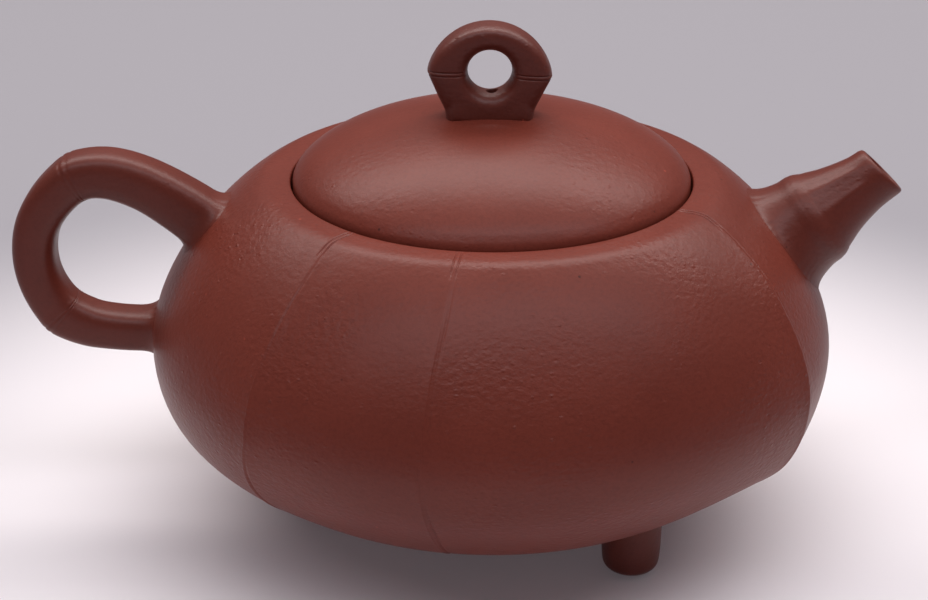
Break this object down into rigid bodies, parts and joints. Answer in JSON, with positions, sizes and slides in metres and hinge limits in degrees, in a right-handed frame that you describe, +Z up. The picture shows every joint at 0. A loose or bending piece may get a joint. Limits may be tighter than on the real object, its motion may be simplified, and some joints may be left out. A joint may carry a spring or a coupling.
{
  "type": "yixing clay teapot",
  "caption": "Small squat clay teapot with a flush domed lid, a ring knob, an ear handle, a short spout and nub feet; the lid lifts off.",
  "frame": {"origin": "on the pot's axis, in the plane that the three feet stand on", "axes": "+Z up along the pot's axis, +X towards the spout, -X towards the handle"},
  "size_m": [0.1406, 0.1083, 0.081],
  "materials": {
    "belly_clay": "unglazed red-brown stoneware, satin, burnished",
    "lid_clay": "unglazed red-brown stoneware, satin, burnished",
    "inside_clay": "unglazed red-brown stoneware, matt, unburnished inside"
  },
  "bodies": {
    "pot": {"body_wall": "belly_clay", "shoulder_ring": "belly_clay", "mouth_collar": "inside_clay", "base_slab": "inside_clay", "spout": "belly_clay", "spout_strainer": "inside_clay", "handle": "belly_clay", "foot_front": "belly_clay", "foot_back": "belly_clay", "foot_handle": "belly_clay"},
    "lid": {"lid_dome": "lid_clay", "lid_flange": "inside_clay", "lid_knob": "lid_clay"}
  },
  "joints": [
    {"name": "lid_lift", "type": "slide", "parent": "pot", "child": "lid", "axis": [0, 0, 1], "range_m": [0, 0.04]}
  ]
}
